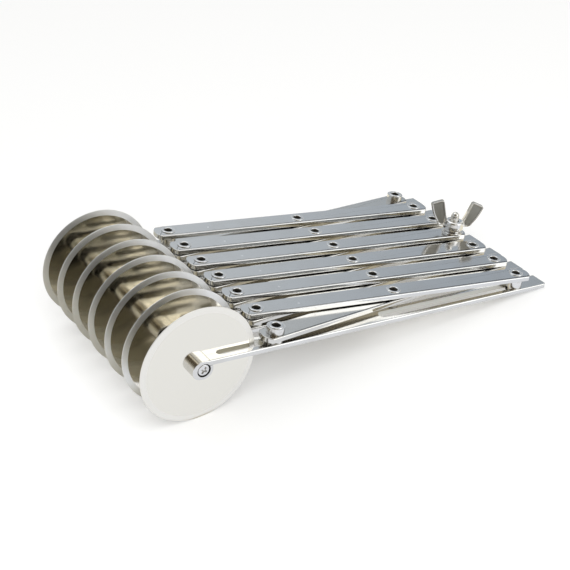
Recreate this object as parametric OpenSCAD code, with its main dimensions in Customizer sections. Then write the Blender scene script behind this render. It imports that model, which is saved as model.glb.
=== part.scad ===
/* [Row] */
// Distance between neighbouring arms in the resting pose
pitch = 16.35; // [13.9:0.05:110]
// Widest angle of the links to the arms, which sets the front end of the rear slots
max_angle = 65.1; // [20:0.1:70]

/* [Blade wheels] */
// Diameter over the cutting edge
wheel_d = 55; // [40:0.5:80]
// Thickness of the disc
wheel_t = 1.2; // [0.8:0.1:1.8]
// Width of the bevelled ring at the rim
bevel_w = 2.7; // [1:0.1:6]
// Thickness left at the cutting edge
edge_t = 0.3; // [0.1:0.05:0.6]
// Gap on each side of a disc in its slit
wheel_gap = 0.15; // [0.1:0.05:0.6]
// Gap between a rim and the rear end of its slot
rim_gap = 1.2; // [0.5:0.1:3]

/* [Axle screws] */
// Diameter of the shank
axle_d = 4; // [3:0.1:4.8]
// Diameter of the head
axle_head_d = 5.4; // [5:0.1:6.4]
// Height of the head
axle_head_h = 1.3; // [0.7:0.1:2]
// Depth of the head below the eye's face
axle_recess = 0.1; // [0.1:0.05:0.8]
// Gap round the head in its counterbore
axle_head_gap = 0.4; // [0.15:0.05:0.5]

/* [Arms] */
// Width of the bar
arm_w = 10; // [9:0.1:12]
// Thickness of the bar
arm_t = 2.3; // [1.8:0.1:3]
// Height of the bar's top face above the axle
arm_top = 4.3; // [4:0.1:6]
// Length of the solid end behind the rear slot
arm_tail = 13.4; // [8:0.1:40]
// Height of the rolled eye above the bar's top face
eye_proud = 0.2; // [0.1:0.05:0.6]
// Length of the eye's nose in front of a round form
eye_nose = 0.9; // [0.2:0.1:2]
// Gap between the end of the rolled strip and the bar's underside
eye_seam = 0.15; // [0.1:0.05:0.4]
// Width of the slot that clears the blade
blade_slot_w = 5.2; // [3:0.1:5.6]
// Distance from the axle to the front end of that slot
blade_slot_x = 7.8; // [7:0.1:12]
// Gap between a rear rivet and each wall of the rear slot
slot_gap = 0.1; // [0.05:0.05:0.3]
// Rear slot behind the rearmost place of its rivet
slot_over = 1.5; // [1:0.1:6]
// Rounding of the rear corners
arm_corner_r = 1.2; // [0.5:0.1:3]

/* [Links] */
// Length between the two end pivots
link_reach = 143.3; // [125:0.1:180]
// Width of a link
link_w = 10; // [9:0.1:12]
// Thickness of a link
link_t = 2.4; // [1.8:0.1:3]
// Distance from an end pivot to the tip
link_end_r = 7; // [6.2:0.1:8]
// Gap between the rims of the wheels and the links' front tips
tip_gap = 3; // [2:0.1:12]
// Height from an arm to the lower link
arm_gap = 1.45; // [1:0.05:3]
// Height from a lower link to the top link
mid_gap = 0.5; // [0.4:0.05:2]
// Rounding along the edges of bars and links
edge_r = 0.8; // [0.2:0.05:0.85]

/* [Rivets and sleeves] */
// Outer diameter of the tube
rivet_d = 5; // [4.4:0.1:5.4]
// Inner diameter of the tube
rivet_bore = 4; // [3:0.1:4.2]
// Diameter of the rolled head
rivet_head_d = 6.8; // [6.2:0.1:7.6]
// Height of the rolled head
rivet_head_h = 0.45; // [0.3:0.05:1]
// Outer diameter of shoulders, washers, spacers and collars
sleeve_d = 8.2; // [7.6:0.1:9]
// Radial gap between a shaft and its hole
run_gap = 0.05; // [0.02:0.01:0.1]
// Height of the gap between layers that slide
play = 0.1; // [0.05:0.01:0.15]

/* [Clamp] */
// Diameter of the stud's threaded end
stud_d = 4.8; // [4:0.1:5]
// Height of the stud's tip above the wing nut's base
stud_rise = 9.2; // [8:0.1:13]
// Diameter of the smooth point that stands out of the nut
stud_point_d = 4; // [3:0.1:4.4]
// Diameter of the stud's head
stud_head_d = 8.6; // [7.6:0.1:9.6]
// Height of the stud's head
stud_head_h = 1.2; // [0.8:0.1:2]
// Height of the lock ring
lock_ring_h = 1; // [0.8:0.1:3]
// Width of the slanted slit in the lock ring
lock_slit = 0.6; // [0.3:0.1:1]
// Diameter of the flat washer
washer_d = 11; // [10:0.1:12]
// Thickness of the flat washer
washer_t = 0.8; // [0.6:0.1:1.6]
// Diameter of the hub's base
hub_base_d = 10.4; // [9.6:0.1:11]
// Diameter of the hub's top
hub_top_d = 9.8; // [9:0.1:10]
// Height of the hub
hub_h = 4.8; // [4:0.1:6.5]
// Distance across the wings
wing_span = 28.4; // [24:0.2:34]
// Height of the wings above the hub's base
wing_h = 15.6; // [13:0.1:19]
// Thickness of a wing
wing_t = 2.2; // [1.6:0.1:3]
// Depth of the sunk panel on each side of a wing
panel_deep = 0.35; // [0.2:0.05:0.5]
// Width of the raised border round it
wing_border = 0.8; // [0.5:0.1:1.2]
// Direction of the wings, from the long axis
wing_turn = -27; // [-90:1:90]

/* [Hidden] */

// Rows, and the row whose rear pivot carries the clamp
rows = 7;
mid = 4;
$fn = 64;

// Heights above the axle, square to the lattice
arm_bot = arm_top - arm_t;
low_b = arm_top + arm_gap;
low_t = low_b + link_t;
top_b = low_t + mid_gap;
top_t = top_b + link_t;
washer_top = top_t + washer_t;
ring_b = washer_top + run_gap;
ring_t = ring_b + lock_ring_h;
nut_b = ring_t + play;

// Angle of the links to the arms, and the shortest length that a link spans along them
theta = asin(pitch / link_reach);
min_span = link_reach * cos(max_angle);

// Places along the arms, from the axle
front_x = wheel_d / 2 + tip_gap + link_end_r;
rear_slot_x0 = front_x + min_span - rivet_d / 2 - slot_gap;
rear_slot_x1 = front_x + link_reach + rivet_d / 2 + slot_over;
arm_len = rear_slot_x1 + arm_tail;

// The lattice leans back until the arms' rear ends meet the surface
tilt = asin(wheel_d / 2 / norm([arm_len, arm_bot])) + atan(arm_bot / arm_len);
tail_x = arm_len * cos(tilt) + arm_top * sin(tilt);
axle_x = (wheel_d / 2 - tail_x) / 2;

// Holes, slits and slots
pivot_hole_d = rivet_d + 2 * run_gap;
axle_hole_d = axle_d + 2 * run_gap;
slit_w = wheel_t + 2 * wheel_gap;
rear_slot_w = rivet_d + 2 * slot_gap;
eye_d = 2 * (arm_top + eye_proud);
blade_slot_x1 = wheel_d / 2 + rim_gap + blade_slot_w / 2;
sink_d = axle_head_d + 2 * axle_head_gap;
sink_h = axle_head_h + axle_recess;

steel = "#c9ccd0";
link_steel = "#b4bac2";
blade_steel = "#d8d4cb";
bright = "#e2e4e6";

function row_y(k) = (mid - k) * pitch;

// Places a module on the leaning lattice, with the axle line at its origin
module lattice() {
    translate([axle_x, 0, wheel_d / 2]) rotate([0, tilt, 0]) children();
}

// Places a module at row k, on its arm's centre line
module at_row(k) {
    lattice() translate([0, row_y(k), 0]) children();
}

// Places a module on top link k, along the link from its front pivot
module on_top(k) {
    at_row(k) translate([front_x, 0, 0]) rotate([0, 0, -theta]) children();
}

// Places a module on lower link k, along the link from its front pivot
module on_lower(k) {
    at_row(k + 1) translate([front_x, 0, 0]) rotate([0, 0, theta]) children();
}

// Side of a bar at distance w from its middle, from z0 up to z1, rounded into both faces
function edge_side(w, z0, z1) = concat(
    [for (a = [-90:30:0]) [w - edge_r + edge_r * cos(a), z0 + edge_r + edge_r * sin(a)]],
    [for (a = [0:30:90]) [w - edge_r + edge_r * cos(a), z1 - edge_r + edge_r * sin(a)]]
);

// Bar along X from x0 to x1, with rounded long edges
module bar(x0, x1, w, z0, z1) {
    side = edge_side(w / 2, z0, z1);
    n = len(side) - 1;
    translate([x0, 0, 0]) rotate([90, 0, 90]) linear_extrude(x1 - x0)
        polygon(concat(side, [for (i = [n:-1:0]) [-side[i][0], side[i][1]]]));
}

// Disc from z0 to z1 with rounded edges
module slug(r, z0, z1) {
    rotate_extrude() polygon(concat([[0, z0]], edge_side(r, z0, z1), [[0, z1]]));
}

// Straight slot with round ends, through z0 to z1
module slot(x0, x1, w, z0, z1) {
    translate([0, 0, z0]) linear_extrude(z1 - z0) {
        translate([x0 + w / 2, 0]) circle(d = w);
        translate([x1 - w / 2, 0]) circle(d = w);
        translate([x0 + w / 2, -w / 2]) square([x1 - x0 - w, w]);
    }
}

module hole(x, d, z0, z1) {
    translate([x, 0, z0 - 1]) cylinder(d = d, h = z1 - z0 + 2);
}

// Ring of the sleeve stock round a shaft of diameter d
module ring(z0, z1, od, d) {
    translate([0, 0, z0]) difference() {
        cylinder(d = od, h = z1 - z0);
        translate([0, 0, -1]) cylinder(d = d + 2 * run_gap, h = z1 - z0 + 2);
    }
}

// Section of a rolled head of height h on its bearing face, from the outer edge to the bore
function rolled(r0, r1, h) = concat(
    [[r1, 0]],
    [for (a = [0:30:90]) [r1 + 0.7 * h * (cos(a) - 1), h + 0.7 * h * (sin(a) - 1)]],
    [for (a = [90:30:180]) [r0 + 0.5 * h * (cos(a) + 1), h + 0.5 * h * (sin(a) - 1)]]
);

// Hollow rivet with heads below z0 and above z1, and a shoulder from s0 to s1 where s1 is higher
module tube_rivet(z0, z1, s0 = 0, s1 = 0) {
    rt = rivet_d / 2;
    rs = sleeve_d / 2;
    shoulder = s1 > s0 ? [[rt, s0], [rs, s0], [rs, s1], [rt, s1]] : [];
    head = rolled(rivet_bore / 2, rivet_head_d / 2, rivet_head_h);
    rotate_extrude() polygon(concat(
        [for (i = [len(head) - 1:-1:0]) [head[i][0], z0 - head[i][1]]],
        [[rt, z0]], shoulder, [[rt, z1]],
        [for (p = head) [p[0], z1 + p[1]]]
    ));
}

module arm(k) {
    color(steel) at_row(k) difference() {
        union() {
            intersection() {
                bar(0, arm_len, arm_w, arm_bot, arm_top);
                translate([0, 0, arm_bot - 1]) linear_extrude(arm_t + 2) union() {
                    translate([-1, -arm_w]) square([arm_len + 1 - arm_corner_r, 2 * arm_w]);
                    translate([0, -arm_w / 2 + arm_corner_r]) square([arm_len, arm_w - 2 * arm_corner_r]);
                    for (s = [-1, 1]) translate([arm_len - arm_corner_r, s * (arm_w / 2 - arm_corner_r)])
                        circle(r = arm_corner_r);
                }
            }
            for (x = [-eye_nose, 0]) translate([x, 0, 0]) rotate([90, 0, 0])
                cylinder(d = eye_d, h = arm_w, center = true);
            translate([-eye_nose, -arm_w / 2, -eye_d / 2]) cube([eye_nose, arm_w, eye_d]);
        }
        rotate([90, 0, 0]) cylinder(d = axle_hole_d, h = arm_w + 2, center = true);
        translate([0, -arm_w / 2 + sink_h, 0]) rotate([90, 0, 0]) cylinder(d = sink_d, h = sink_h + 1);
        translate([-eye_d, -slit_w / 2, -eye_d])
            cube([eye_d + blade_slot_x + blade_slot_w / 2, slit_w, 2 * eye_d]);
        translate([0, -arm_w, arm_bot - eye_seam]) cube([eye_d, 2 * arm_w, eye_seam]);
        slot(blade_slot_x, blade_slot_x1, blade_slot_w, arm_bot - 1, arm_top + 1);
        slot(rear_slot_x0, rear_slot_x1, rear_slot_w, arm_bot - 1, arm_top + 1);
        hole(front_x, pivot_hole_d, arm_bot, arm_top);
    }
}

module wheel(k) {
    r = wheel_d / 2;
    color(blade_steel) at_row(k) rotate([90, 0, 0]) rotate_extrude($fn = 180) polygon([
        [axle_hole_d / 2, -wheel_t / 2], [r - bevel_w, -wheel_t / 2], [r, -edge_t / 2],
        [r, edge_t / 2], [r - bevel_w, wheel_t / 2], [axle_hole_d / 2, wheel_t / 2]
    ]);
}

module axle_screw(k) {
    d = axle_head_d;
    h = axle_head_h;
    color(bright) at_row(k) translate([0, -arm_w / 2 + axle_recess, 0]) rotate([-90, 0, 0]) difference() {
        union() {
            rotate_extrude() polygon([[0, 0], [d * 0.43, 0], [d / 2, h * 0.3], [d / 2, h], [0, h]]);
            cylinder(d = axle_d, h = arm_w - 2 * axle_recess);
        }
        for (a = [30, 120]) rotate([0, 0, a]) translate([-d * 0.27, -d * 0.065, -h])
            cube([d * 0.54, d * 0.13, h * 1.7]);
    }
}

module link_blank(z0, z1) {
    difference() {
        intersection() {
            bar(-link_end_r, link_reach + link_end_r, link_w, z0, z1);
            union() {
                slug(link_end_r, z0, z1);
                translate([link_reach, 0, 0]) slug(link_end_r, z0, z1);
                translate([0, -link_w, z0]) cube([link_reach, 2 * link_w, z1 - z0]);
            }
        }
        for (x = [0, link_reach / 2, link_reach]) hole(x, pivot_hole_d, z0, z1);
    }
}

module top_link(k) {
    color(link_steel) on_top(k) link_blank(top_b, top_t);
}

module lower_link(k) {
    color(steel) on_lower(k) link_blank(low_b, low_t);
}

// Fixed on arm k: the shoulder stands on the arm and the link ends turn above it
module front_rivet(k) {
    color(bright) at_row(k) translate([front_x, 0, 0])
        tube_rivet(arm_bot, top_t + play, arm_top, k == 1 ? arm_top : low_b - play);
}

// On top link k: the crossing rivet, and the rear rivet that slides in the next arm's slot
module link_rivets(k) {
    color(bright) on_top(k) {
        translate([link_reach / 2, 0, 0]) tube_rivet(low_b - play, top_t);
        if (k != mid - 1) translate([link_reach, 0, 0])
            tube_rivet(arm_bot - play, top_t, arm_top + play, k == rows - 1 ? 0 : low_b - play);
    }
}

// On lower link k: thin washers under the top links, at each pivot that the two layers share
module link_washers(k) {
    shared = [if (k < rows - 1) 0, link_reach / 2, if (k > 1) link_reach];
    color(bright) on_lower(k) for (x = shared) translate([x, 0, 0])
        ring(low_t, top_b - play, sleeve_d, rivet_d);
}

// On lower link 1, whose rear end no top link shares
module rear_rivet_1() {
    color(bright) on_lower(1) translate([link_reach, 0, 0])
        tube_rivet(arm_bot - play, top_t, arm_top + play, low_b);
}

module rear_collar() {
    color(bright) on_lower(1) translate([link_reach, 0, 0]) ring(low_t, top_t, sleeve_d, rivet_d);
}

module front_collar() {
    color(bright) at_row(rows) translate([front_x, 0, 0]) ring(low_t + play, top_t + play, sleeve_d, rivet_d);
}

module front_spacer() {
    color(bright) at_row(1) translate([front_x, 0, 0]) ring(arm_top, top_b - play, sleeve_d, rivet_d);
}

module rear_spacer() {
    color(bright) on_top(rows - 1) translate([link_reach, 0, 0])
        ring(arm_top + play, top_b, sleeve_d, rivet_d);
}

// Stud through the middle arm's slot: the rear pivot that the wing nut clamps
module clamp_stud() {
    tip = nut_b + stud_rise;
    foot = arm_bot - play - stud_head_h;
    rt = stud_d / 2;
    rp = stud_point_d / 2;
    rh = stud_head_d / 2;
    c = stud_head_h * 0.4;
    color(bright) on_top(mid - 1) translate([link_reach, 0, 0]) rotate_extrude() polygon(concat(
        [[0, foot]],
        [for (a = [0:15:90]) [rh - c + c * sin(a), foot + c - c * cos(a)]],
        [[rh, arm_bot - play], [rivet_d / 2, arm_bot - play], [rivet_d / 2, ring_t], [rt, ring_t]],
        [[rt, nut_b + hub_h - stud_d / 8], [rp, nut_b + hub_h]],
        [for (a = [0:10:90]) [rp * cos(a), tip - rp + rp * sin(a)]]
    ));
}

module clamp_washers() {
    color(bright) on_top(mid - 1) translate([link_reach, 0, 0]) {
        ring(arm_top + play, low_b - play, sleeve_d, rivet_d);
        ring(top_t, washer_top, washer_d, rivet_d);
        difference() {
            ring(ring_b, ring_t, sleeve_d, rivet_d);
            translate([0, -sleeve_d / 2, (ring_b + ring_t) / 2]) rotate([0, 25, 0])
                cube([lock_slit, sleeve_d, 3 * lock_ring_h], center = true);
        }
    }
}

// Outline of one wing, with inset e all round, in the plane of the wings
module wing_outline(e) {
    x = wing_span / 2;
    h = wing_h;
    hull() {
        translate([x - h * 0.19, h * 0.73]) circle(r = h * 0.19 - e, $fn = 24);
        translate([x * 0.55, h * 0.86]) circle(r = h * 0.14 - e, $fn = 24);
        translate([hub_base_d * 0.66, h * 0.235]) circle(r = h * 0.145 - e, $fn = 24);
        translate([hub_base_d * 0.52, h * 0.29]) circle(r = h * 0.12 - e, $fn = 24);
    }
}

module wing_nut() {
    bore = stud_d + 2 * run_gap;
    base = hub_base_d / 2;
    top = hub_top_d / 2;
    low_r = hub_h * 0.1;
    top_r = hub_h * 0.25;
    turn = wing_turn + theta;
    color(bright) on_top(mid - 1) translate([link_reach, 0, nut_b]) rotate([0, 0, turn]) difference() {
        union() {
            rotate_extrude() polygon(concat(
                [[0, 0]],
                [for (a = [0:30:90]) [base - low_r + low_r * sin(a), low_r - low_r * cos(a)]],
                [[base, hub_h * 0.4]],
                [for (a = [0:18:90]) [top - top_r + top_r * cos(a), hub_h - top_r + top_r * sin(a)]],
                [[0, hub_h]]
            ));
            for (s = [0, 180]) rotate([0, 0, s]) difference() {
                translate([0, wing_t / 2, 0]) rotate([90, 0, 0]) linear_extrude(wing_t) wing_outline(0);
                for (y = [panel_deep - wing_t / 2, wing_t * 1.5 - panel_deep])
                    translate([0, y, 0]) rotate([90, 0, 0]) linear_extrude(wing_t) wing_outline(wing_border);
            }
        }
        translate([0, 0, -1]) cylinder(d = bore, h = hub_h + 2);
    }
}

arm(1);  // arm_1
arm(2);  // arm_2
arm(3);  // arm_3
arm(4);  // arm_4
arm(5);  // arm_5
arm(6);  // arm_6
arm(7);  // arm_7
wheel(1);  // wheel_1
wheel(2);  // wheel_2
wheel(3);  // wheel_3
wheel(4);  // wheel_4
wheel(5);  // wheel_5
wheel(6);  // wheel_6
wheel(7);  // wheel_7
axle_screw(1);  // axle_screw_1
axle_screw(2);  // axle_screw_2
axle_screw(3);  // axle_screw_3
axle_screw(4);  // axle_screw_4
axle_screw(5);  // axle_screw_5
axle_screw(6);  // axle_screw_6
axle_screw(7);  // axle_screw_7
top_link(1);  // top_link_1
top_link(2);  // top_link_2
top_link(3);  // top_link_3
top_link(4);  // top_link_4
top_link(5);  // top_link_5
top_link(6);  // top_link_6
lower_link(1);  // lower_link_1
lower_link(2);  // lower_link_2
lower_link(3);  // lower_link_3
lower_link(4);  // lower_link_4
lower_link(5);  // lower_link_5
lower_link(6);  // lower_link_6
front_rivet(1);  // front_rivet_1
front_rivet(2);  // front_rivet_2
front_rivet(3);  // front_rivet_3
front_rivet(4);  // front_rivet_4
front_rivet(5);  // front_rivet_5
front_rivet(6);  // front_rivet_6
front_rivet(7);  // front_rivet_7
link_rivets(1);  // link_rivets_1
link_rivets(2);  // link_rivets_2
link_rivets(3);  // link_rivets_3
link_rivets(4);  // link_rivets_4
link_rivets(5);  // link_rivets_5
link_rivets(6);  // link_rivets_6
link_washers(1);  // link_washers_1
link_washers(2);  // link_washers_2
link_washers(3);  // link_washers_3
link_washers(4);  // link_washers_4
link_washers(5);  // link_washers_5
link_washers(6);  // link_washers_6
rear_rivet_1();
front_spacer();
rear_spacer();
front_collar();
rear_collar();
clamp_stud();
clamp_washers();
wing_nut();
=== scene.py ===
"""Looks for the expandable dough cutter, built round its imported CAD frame.

Seven blade wheels turn in the rolled ends of seven flat arms. Six top links and six lower
links join the arms as lazy tongs, and a wing nut on the middle row locks them. Shop sizes
are in millimetres. Finished pieces are in metres, in the frame that the CAD gives.
"""

import logging
import math
from collections.abc import Callable, Sequence
from dataclasses import dataclass, field
from enum import Enum

import bmesh
import bpy
from mathutils import Matrix, Vector


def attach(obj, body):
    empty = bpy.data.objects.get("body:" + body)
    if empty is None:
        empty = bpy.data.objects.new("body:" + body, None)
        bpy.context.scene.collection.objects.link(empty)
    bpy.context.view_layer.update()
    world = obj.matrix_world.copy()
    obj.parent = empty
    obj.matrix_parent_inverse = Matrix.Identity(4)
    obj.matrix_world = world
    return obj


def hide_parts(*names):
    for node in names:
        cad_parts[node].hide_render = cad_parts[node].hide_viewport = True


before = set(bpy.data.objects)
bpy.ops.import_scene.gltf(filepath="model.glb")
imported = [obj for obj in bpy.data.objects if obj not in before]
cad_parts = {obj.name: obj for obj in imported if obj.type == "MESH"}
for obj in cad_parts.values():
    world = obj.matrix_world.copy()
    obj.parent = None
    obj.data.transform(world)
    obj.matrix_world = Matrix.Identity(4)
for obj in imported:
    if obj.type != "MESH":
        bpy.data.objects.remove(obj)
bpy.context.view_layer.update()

Point = tuple[float, float]
Triple = tuple[float, float, float]
Colour = Triple
Profile = list[Point]
Bend = tuple[float, float, float, float, float, int]
Inputs = dict[str | int, object]
Material = bpy.types.Material

WHITE: Colour = (1.0, 1.0, 1.0)
HERE = Matrix.Identity(4)

# Metres in a millimetre, the number of rows and the middle one
MM = 0.001
ROWS = 7
MIDDLE = 4

# How close two places count as one, and how far a cutter reaches past the work
TOUCH = 0.01
OVER = 1.0

log = logging.getLogger("dough_cutter")


# Places

@dataclass(frozen=True)
class Lattice:
    """Places on the leaning lazy-tongs lattice, with the CAD's own sizes in millimetres."""

    pitch: float = 16.35
    wheel_d: float = 55.0
    arm_len: float = 198.2
    arm_w: float = 10.0
    arm_top: float = 4.3
    arm_t: float = 2.3
    front_x: float = 37.5
    reach: float = 143.3
    arm_gap: float = 1.45
    link_t: float = 2.4
    mid_gap: float = 0.5
    lock_ring_h: float = 1.0
    washer_t: float = 0.8
    run_gap: float = 0.05
    play: float = 0.1
    max_angle: float = 65.1

    @property
    def arm_bot(self) -> float:
        """Height of an arm's underside above the axle."""
        return self.arm_top - self.arm_t

    @property
    def low_b(self) -> float:
        """Height of a lower link's underside."""
        return self.arm_top + self.arm_gap

    @property
    def top_b(self) -> float:
        """Height of a top link's underside."""
        return self.low_b + self.link_t + self.mid_gap

    @property
    def top_t(self) -> float:
        """Height of a top link's upper face."""
        return self.top_b + self.link_t

    @property
    def ring_b(self) -> float:
        """Height of the lock ring's lower face, just above the flat washer."""
        return self.top_t + self.washer_t + self.run_gap

    @property
    def nut_b(self) -> float:
        """Height of the wing nut's base."""
        return self.ring_b + self.lock_ring_h + self.play

    @property
    def tilt(self) -> float:
        """Angle at which the lattice leans back, in radians."""
        lean = math.asin(self.wheel_d / 2 / math.hypot(self.arm_len, self.arm_bot))
        return lean + math.atan2(self.arm_bot, self.arm_len)

    @property
    def theta(self) -> float:
        """Angle of the links to the arms in the resting pose, in radians."""
        return math.asin(self.pitch / self.reach)

    @property
    def axle(self) -> Vector:
        """Centre of the axle line, in metres."""
        tail = self.arm_len * math.cos(self.tilt) + self.arm_top * math.sin(self.tilt)
        return Vector(((self.wheel_d / 2 - tail) / 2, 0.0, self.wheel_d / 2)) * MM

    def deck(self) -> Matrix:
        """Returns the lattice's own frame: x to the rear ends, z square to the links."""
        return Matrix.Translation(self.axle) @ Matrix.Rotation(self.tilt, 4, "Y")

    def row(self, k: int, x: float = 0.0) -> Matrix:
        """Finds the place on the centre line of arm k, 1 far to 7 near, at x behind the axle."""
        return self.deck() @ Matrix.Translation(Vector((x, (MIDDLE - k) * self.pitch, 0.0)) * MM)

    def _along(self, k: int, turn: float, u: float, z: float) -> Matrix:
        """Finds the place at u from row k's front pivot and z above the axle, on a turned link."""
        along = Matrix.Translation(Vector((u, 0.0, z)) * MM)
        return self.row(k, self.front_x) @ Matrix.Rotation(turn, 4, "Z") @ along

    def top_link(self, k: int, u: float, z: float = 0.0) -> Matrix:
        """Finds a place on top link k, turned with it, at u from its front pivot and height z."""
        return self._along(k, -self.theta, u, z)

    def lower_link(self, k: int, u: float, z: float = 0.0) -> Matrix:
        """Finds a place on lower link k, as top_link does on a top link."""
        return self._along(k + 1, self.theta, u, z)


LATTICE = Lattice()


# Shaping

class Workpiece:
    """A mesh that is shaped in edit mode, at one unit to the millimetre."""

    def __init__(self, name: str) -> None:
        """Lays down the blank: a small plane that is merged to one vertex at the centre.

        Args:
            name: The workpiece's name.
        """
        bpy.ops.object.select_all(action="DESELECT")
        bpy.ops.mesh.primitive_plane_add(size=1.0, location=(0.0, 0.0, 0.0))
        self.obj = bpy.context.active_object
        self.obj.name = self.obj.data.name = name
        bpy.ops.object.mode_set(mode="EDIT")
        bpy.ops.mesh.select_mode(type="VERT")
        bpy.ops.mesh.select_all(action="SELECT")
        bpy.ops.mesh.merge(type="CENTER")

    def activate(self) -> None:
        """Makes this the one selected object."""
        bpy.ops.object.select_all(action="DESELECT")
        self.obj.select_set(True)
        bpy.context.view_layer.objects.active = self.obj

    def chain(self, points: Sequence[Vector], closed: bool) -> None:
        """Extrudes the blank's vertex through a line of points and leaves it selected.

        Args:
            points: The points in order.
            closed: Whether the last point joins the first.
        """
        line = [*points, points[0]] if closed else list(points)
        bpy.ops.transform.translate(value=line[0])
        for start, end in zip(line, line[1:]):
            bpy.ops.mesh.extrude_region_move(TRANSFORM_OT_translate={"value": end - start})
        self.merge_doubles()

    @staticmethod
    def merge_doubles() -> None:
        """Merges points that fall together, and selects all."""
        bpy.ops.mesh.select_all(action="SELECT")
        bpy.ops.mesh.remove_doubles(threshold=1e-4)
        bpy.ops.mesh.select_all(action="SELECT")

    def close_up(self) -> None:
        """Turns every face outward and ends the shaping."""
        self.merge_doubles()
        bpy.ops.mesh.normals_make_consistent(inside=False)
        bpy.ops.object.mode_set(mode="OBJECT")

    def lathe(self, profile: Profile, steps: int, closed: bool = True) -> None:
        """Turns a profile once round the Z axis.

        Args:
            profile: Radius and height of each point.
            steps: Number of facets in a turn.
            closed: Whether the profile is a closed loop, as on a ring.
        """
        self.chain([Vector((r, 0.0, z)) for r, z in profile], closed)
        bpy.ops.mesh.spin(
            steps=steps, angle=math.tau, use_auto_merge=True,
            center=(0.0, 0.0, 0.0), axis=(0.0, 0.0, 1.0),
        )
        self.close_up()

    def prism(self, outline: Profile, low: float, high: float) -> None:
        """Fills an outline in the XZ plane and extrudes it along Y from low to high."""
        self._extrude([Vector((x, low, z)) for x, z in outline], Vector((0.0, high - low, 0.0)))

    def slab(self, outline: Profile, low: float, high: float) -> None:
        """Fills an outline in the XY plane and extrudes it up Z from low to high."""
        self._extrude([Vector((x, y, low)) for x, y in outline], Vector((0.0, 0.0, high - low)))

    def _extrude(self, points: Sequence[Vector], way: Vector) -> None:
        """Fills the closed chain through the points and extrudes the face."""
        self.chain(points, True)
        bpy.ops.mesh.edge_face_add()
        bpy.ops.mesh.extrude_region_move(TRANSFORM_OT_translate={"value": way})
        self.close_up()

    def round_edges(self, width: float, segments: int, share: Callable[[Vector, Vector], float]) -> None:
        """Rounds edges, each by its own share of a width.

        Args:
            width: The largest rounding.
            segments: Facets across a rounding.
            share: Gives an edge's share of the width from its two ends.
        """
        layer = self.obj.data.attributes.new("bevel_weight_edge", "FLOAT", "EDGE")
        points = self.obj.data.vertices
        for edge in self.obj.data.edges:
            start, end = (points[i].co for i in edge.vertices)
            layer.data[edge.index].value = share(start, end)
        self.modify("BEVEL", width=width, segments=segments, limit_method="WEIGHT", use_clamp_overlap=False)

    def pick_faces(self, wanted: Callable[[bmesh.types.BMFace], bool]) -> None:
        """Goes into edit mode with only some faces selected.

        Args:
            wanted: Says of a face whether it is selected.
        """
        self.activate()
        bpy.ops.object.mode_set(mode="EDIT")
        bpy.ops.mesh.select_mode(type="FACE")
        bpy.ops.mesh.select_all(action="DESELECT")
        mesh = bmesh.from_edit_mesh(self.obj.data)
        for face in mesh.faces:
            face.select_set(wanted(face))
        bmesh.update_edit_mesh(self.obj.data)

    def modify(self, kind: str, **settings: object) -> None:
        """Adds one modifier and applies it.

        Args:
            kind: The modifier's type.
            **settings: Its properties by name.
        """
        self.activate()
        modifier = self.obj.modifiers.new(kind.title(), kind)
        for name, value in settings.items():
            setattr(modifier, name, value)
        bpy.ops.object.modifier_apply(modifier=modifier.name)

    def cut(self, cutter: "Workpiece", where: Matrix = HERE) -> None:
        """Moves a cutter to its place, cuts its shape out of this one and scraps it."""
        cutter.shift(where)
        self.modify("BOOLEAN", operation="DIFFERENCE", solver="EXACT", object=cutter.obj)
        cutter.scrap()

    def shift(self, matrix: Matrix) -> None:
        """Moves the mesh itself, still in millimetres."""
        self.obj.data.transform(matrix)

    def weld(self, *others: "Workpiece") -> None:
        """Joins other workpieces into this mesh."""
        self.activate()
        for other in others:
            other.obj.select_set(True)
        bpy.ops.object.join()

    def smooth(self, degrees: float = 35.0, level: bool = False) -> None:
        """Shades smooth across edges up to an angle.

        Args:
            degrees: The widest angle that is smoothed.
            level: Whether the large flats keep their own normals beside a rounding.
        """
        self.activate()
        bpy.ops.object.shade_smooth_by_angle(angle=math.radians(degrees))
        if level:
            self.modify("WEIGHTED_NORMAL", keep_sharp=True)

    def place(self, name: str, where: Matrix, *materials: Material) -> bpy.types.Object:
        """Sets down a copy at its place, with its own mesh and its object at the origin.

        Args:
            name: The copy's name.
            where: Its place, in metres.
            *materials: Its finish, and any second one that some faces point to.

        Returns:
            The finished object.
        """
        mesh = self.obj.data.copy()
        mesh.name = name
        mesh.transform(where @ Matrix.Scale(MM, 4))
        for material in materials:
            mesh.materials.append(material)
        piece = bpy.data.objects.new(name, mesh)
        bpy.context.scene.collection.objects.link(piece)
        return piece

    def scrap(self) -> None:
        """Removes the workpiece once its shape is used."""
        bpy.data.objects.remove(self.obj)


def peg(radius: float, low: float, high: float, facets: int = 48) -> Workpiece:
    """Turns a plain round cutter on the Z axis, from height low to high."""
    cutter = Workpiece("peg_cutter")
    cutter.lathe([(0.0, low), (radius, low), (radius, high), (0.0, high)], facets, closed=False)
    return cutter


def arc(cx: float, cz: float, rx: float, rz: float, start: float, end: float, steps: int) -> Profile:
    """Lays points along an elliptic arc, from its first to its last angle in degrees."""
    angles = [math.radians(start + (end - start) * i / steps) for i in range(steps + 1)]
    return [(cx + rx * math.cos(a), cz + rz * math.sin(a)) for a in angles]


def bend(stretch: Bend) -> Profile:
    """Lays points along a round stretch: its centre, radius, two angles and number of chords."""
    cx, cz, radius, *turn = stretch
    return arc(cx, cz, radius, radius, *turn)


# Shader building

def node_math(operation: str) -> Callable[..., "Wire"]:
    """Makes the method of a wire that one kind of Math node stands for."""
    def method(self: "Wire", *others: object) -> "Wire":
        """Adds the node, with the wire as its first input."""
        return self.graph.math(operation, self, *others)
    return method


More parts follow.
